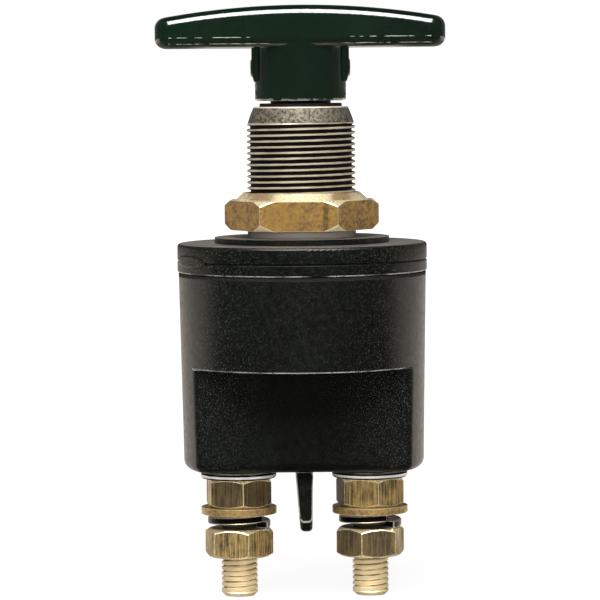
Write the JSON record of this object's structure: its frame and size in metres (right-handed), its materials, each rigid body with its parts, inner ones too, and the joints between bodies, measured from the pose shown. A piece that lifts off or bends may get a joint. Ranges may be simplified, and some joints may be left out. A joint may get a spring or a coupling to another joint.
{
  "type": "battery isolator switch",
  "caption": "Panel-mounted battery isolator switch with a T-handle on a threaded neck, a hexagonal clamping nut, a round moulded case and M10 stud terminals.",
  "frame": {"origin": "middle of the cover's raised boss face, which seats behind the panel, on the neck's axis", "axes": "+Z along the neck from the case towards the handle; +X along the handle bar and across the two terminals; -Y is the front"},
  "size_m": [0.08, 0.0692, 0.1639],
  "materials": {
    "handle_enamel": "dark green gloss enamel",
    "case_moulding": "black moulded, satin",
    "inner_moulding": "tan moulded insulator",
    "neck_metal": "turned, dull nickel",
    "steel": "bright steel",
    "brass": "turned brass",
    "copper": "copper, for which brass stands in",
    "silver": "silver contact face",
    "rubber": "black rubber"
  },
  "bodies": {
    "case": {"wiper_seal": "rubber", "cover_screws": "steel", "cover": "case_moulding", "cover_gasket": "rubber", "screw_inserts": "brass", "neck_bushing": "neck_metal", "stop_plate": "inner_moulding", "return_spring": "steel", "fixed_contacts": "silver", "terminal_stud_left": "brass", "terminal_stud_right": "brass", "housing": "case_moulding", "base_washers": "steel", "upper_nuts": "brass", "flat_washers": "brass", "spring_washers": "steel", "lower_nuts": "brass"},
    "handle": {"t_handle": "handle_enamel", "handle_pin": "handle_enamel", "handle_washer": "inner_moulding", "shaft": "steel", "shaft_orings": "rubber", "thrust_washer": "inner_moulding", "drive_pin": "steel"},
    "bridge": {"bridge_carrier": "inner_moulding", "contact_bridge": "copper", "moving_contacts": "silver", "contact_spring": "steel"},
    "panel_nut": {"panel_nut": "brass"}
  },
  "joints": [
    {"name": "handle_turn", "type": "hinge", "parent": "case", "child": "handle", "pos_m": [0, 0, 0.045], "axis": [0, 0, -1], "range_deg": [0, 90]},
    {"name": "bridge_slide", "type": "slide", "parent": "case", "child": "bridge", "axis": [0, 0, -1], "range_m": [0, 0.003], "deforming": ["return_spring"]},
    {"name": "panel_nut_travel", "type": "slide", "parent": "case", "child": "panel_nut", "axis": [0, 0, 1], "range_m": [-0.002, 0.0175]}
  ],
  "couplings": [
    {"joint": "bridge_slide", "follows": "handle_turn", "m_per_rad": 0.0019099}
  ]
}
